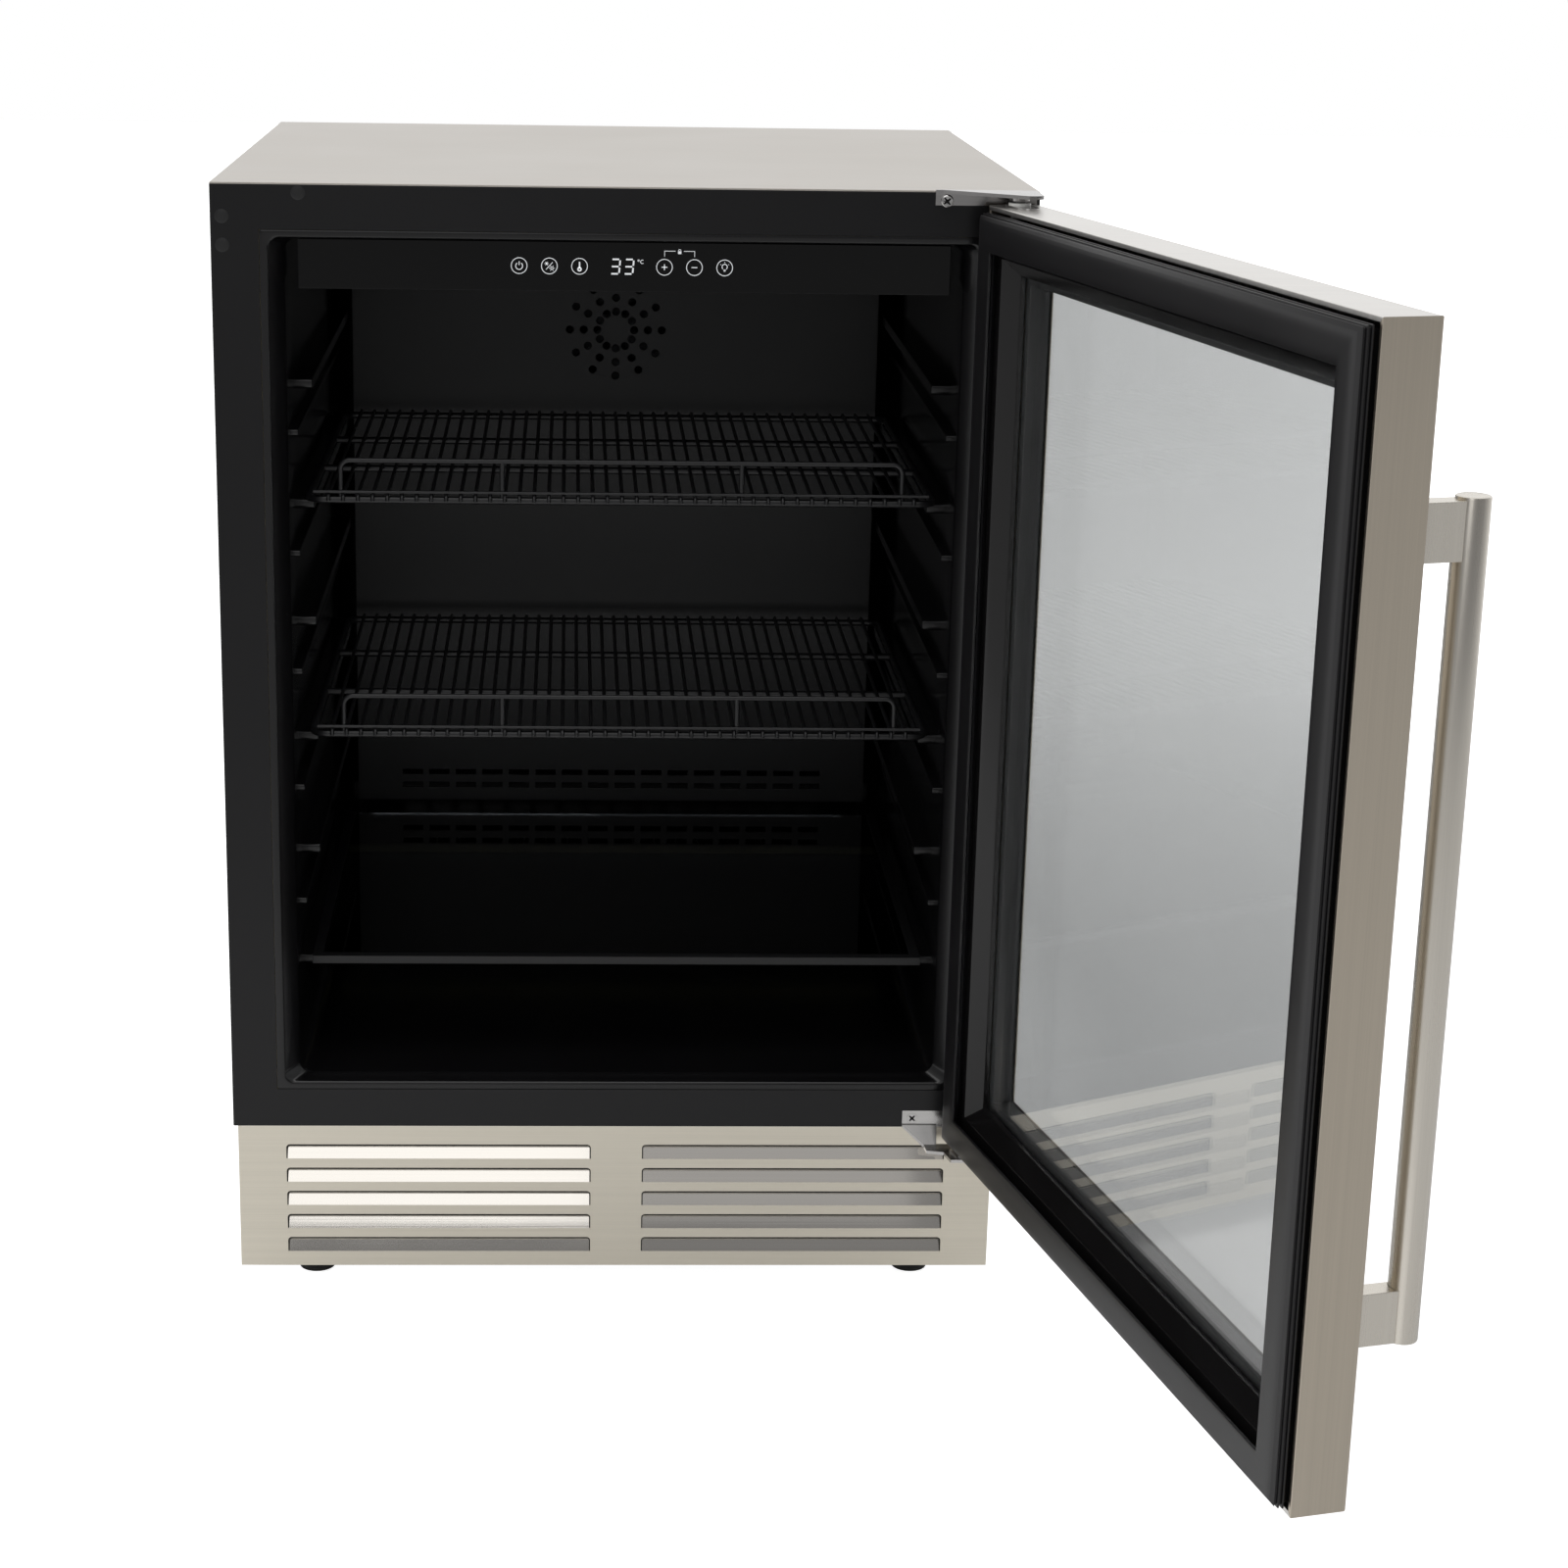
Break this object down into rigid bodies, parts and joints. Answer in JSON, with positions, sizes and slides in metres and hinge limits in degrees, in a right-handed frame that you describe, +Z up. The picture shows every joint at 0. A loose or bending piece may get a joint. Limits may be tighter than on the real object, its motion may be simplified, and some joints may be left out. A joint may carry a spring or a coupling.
{
  "type": "mini fridge",
  "caption": "Under-counter mini fridge: black steel cabinet with stainless top and louvred kick plate, hinged glass door with tubular handle, pull-out shelves and touch controls.",
  "frame": {"origin": "on the floor, under the middle of the cabinet's front edge (the plane the shut door's gasket meets)", "axes": "+Z up, +Y towards the back, +X towards the hinge side, on the right as seen from the front"},
  "size_m": [0.7719, 1.1715, 0.8668],
  "materials": {
    "black_painted_steel": "satin black powder coat",
    "top_steel": "brushed stainless",
    "door_steel": "brushed stainless, grain along the piece",
    "kick_steel": "brushed stainless, grain across",
    "zinc_plated_steel": "bright zinc plate",
    "galvanised_steel": "galvanised",
    "liner_black": "gloss black moulding",
    "inner_frame_black": "gloss black",
    "panel_gloss": "gloss black touch panel",
    "black_plastic": "black moulding",
    "black_wire": "black coated wire",
    "gasket_black": "soft black vinyl",
    "rubber_black": "black rubber",
    "magnet": "bonded ferrite strip",
    "clear_glass": "clear coated glass",
    "shelf_glass": "dark tinted glass",
    "spacer": "grey anodised spacer with sealant",
    "white_plastic": "white acetal",
    "lamp": "opal diffuser",
    "foam": "closed-cell foam",
    "coil_aluminium": "bare tube and fin",
    "coil_black": "black painted tube and fin",
    "fan_grey": "grey moulding",
    "compressor_black": "black enamel",
    "electronics_white": "pale moulding"
  },
  "bodies": {
    "cabinet": {"side_panel_left": "black_painted_steel", "side_panel_right": "black_painted_steel", "top_panel": "top_steel", "back_panel": "black_painted_steel", "front_header": "black_painted_steel", "front_sill": "black_painted_steel", "insulation_foam": "foam", "inner_liner": "liner_black", "machine_deck": "galvanised_steel", "base_pan": "galvanised_steel", "kick_plate": "kick_steel", "rear_cover": "black_painted_steel", "hole_plugs": "black_plastic", "top_hinge_bracket": "zinc_plated_steel", "bottom_hinge_bracket": "zinc_plated_steel", "hinge_screws": "zinc_plated_steel", "touch_panel": "panel_gloss", "control_housing": "black_plastic", "light_bar": "lamp", "evaporator_cover": "black_plastic", "evaporator_coil": "coil_aluminium", "evaporator_fan_frame": "black_plastic", "condenser_coil": "coil_black", "condenser_fan_frame": "black_plastic", "compressor": "compressor_black", "compressor_grommets": "rubber_black", "control_box": "electronics_white", "drip_tray": "black_plastic", "power_inlet": "black_plastic"},
    "door": {"door_stile_free": "door_steel", "door_stile_hinge": "door_steel", "door_rail_top": "door_steel", "door_rail_bottom": "door_steel", "door_inner_frame": "inner_frame_black", "door_gasket": "gasket_black", "gasket_magnet": "magnet", "glass_outer": "clear_glass", "glass_inner": "clear_glass", "glass_spacer": "spacer", "handle_bar": "door_steel", "handle_posts": "door_steel", "handle_screws": "zinc_plated_steel", "door_hinge_plates": "zinc_plated_steel", "door_hinge_bushes": "white_plastic"},
    "upper_shelf": {"shelf_upper": "black_wire", "shelf_upper_guard": "black_wire"},
    "middle_shelf": {"shelf_middle": "black_wire", "shelf_middle_guard": "black_wire"},
    "lower_shelf": {"shelf_lower_glass": "shelf_glass", "shelf_lower_trim": "black_plastic"},
    "evaporator_fan_rotor": {"evaporator_fan": "fan_grey"},
    "condenser_fan_rotor": {"condenser_fan": "fan_grey"},
    "foot_front_left": {"foot_pad_front_left": "rubber_black", "foot_stud_front_left": "zinc_plated_steel"},
    "foot_front_right": {"foot_pad_front_right": "rubber_black", "foot_stud_front_right": "zinc_plated_steel"},
    "foot_rear_left": {"foot_pad_rear_left": "rubber_black", "foot_stud_rear_left": "zinc_plated_steel"},
    "foot_rear_right": {"foot_pad_rear_right": "rubber_black", "foot_stud_rear_right": "zinc_plated_steel"}
  },
  "joints": [
    {"name": "door_hinge", "type": "hinge", "parent": "cabinet", "child": "door", "pos_m": [0.279, -0.028, 0.5], "axis": [0, 0, 1], "range_deg": [-103.4, 6]},
    {"name": "upper_shelf_slide", "type": "slide", "parent": "cabinet", "child": "upper_shelf", "axis": [0, -1, 0], "range_m": [0, 0.26]},
    {"name": "middle_shelf_slide", "type": "slide", "parent": "cabinet", "child": "middle_shelf", "axis": [0, -1, 0], "range_m": [0, 0.26]},
    {"name": "lower_shelf_slide", "type": "slide", "parent": "cabinet", "child": "lower_shelf", "axis": [0, -1, 0], "range_m": [0, 0.26]},
    {"name": "evaporator_fan_spin", "type": "hinge", "parent": "cabinet", "child": "evaporator_fan_rotor", "pos_m": [0, 0.474, 0.7], "axis": [0, -1, 0], "continuous": true},
    {"name": "condenser_fan_spin", "type": "hinge", "parent": "cabinet", "child": "condenser_fan_rotor", "pos_m": [-0.13, 0.19, 0.0845], "axis": [0, -1, 0], "continuous": true},
    {"name": "foot_front_left_turn", "type": "hinge", "parent": "cabinet", "child": "foot_front_left", "pos_m": [-0.239, 0.056, 0.012], "axis": [0, 0, -1], "range_deg": [0, 2880]},
    {"name": "foot_front_right_turn", "type": "hinge", "parent": "cabinet", "child": "foot_front_right", "pos_m": [0.239, 0.056, 0.012], "axis": [0, 0, -1], "range_deg": [0, 2880]},
    {"name": "foot_rear_left_turn", "type": "hinge", "parent": "cabinet", "child": "foot_rear_left", "pos_m": [-0.239, 0.515, 0.012], "axis": [0, 0, -1], "range_deg": [0, 2880]},
    {"name": "foot_rear_right_turn", "type": "hinge", "parent": "cabinet", "child": "foot_rear_right", "pos_m": [0.239, 0.515, 0.012], "axis": [0, 0, -1], "range_deg": [0, 2880]}
  ]
}
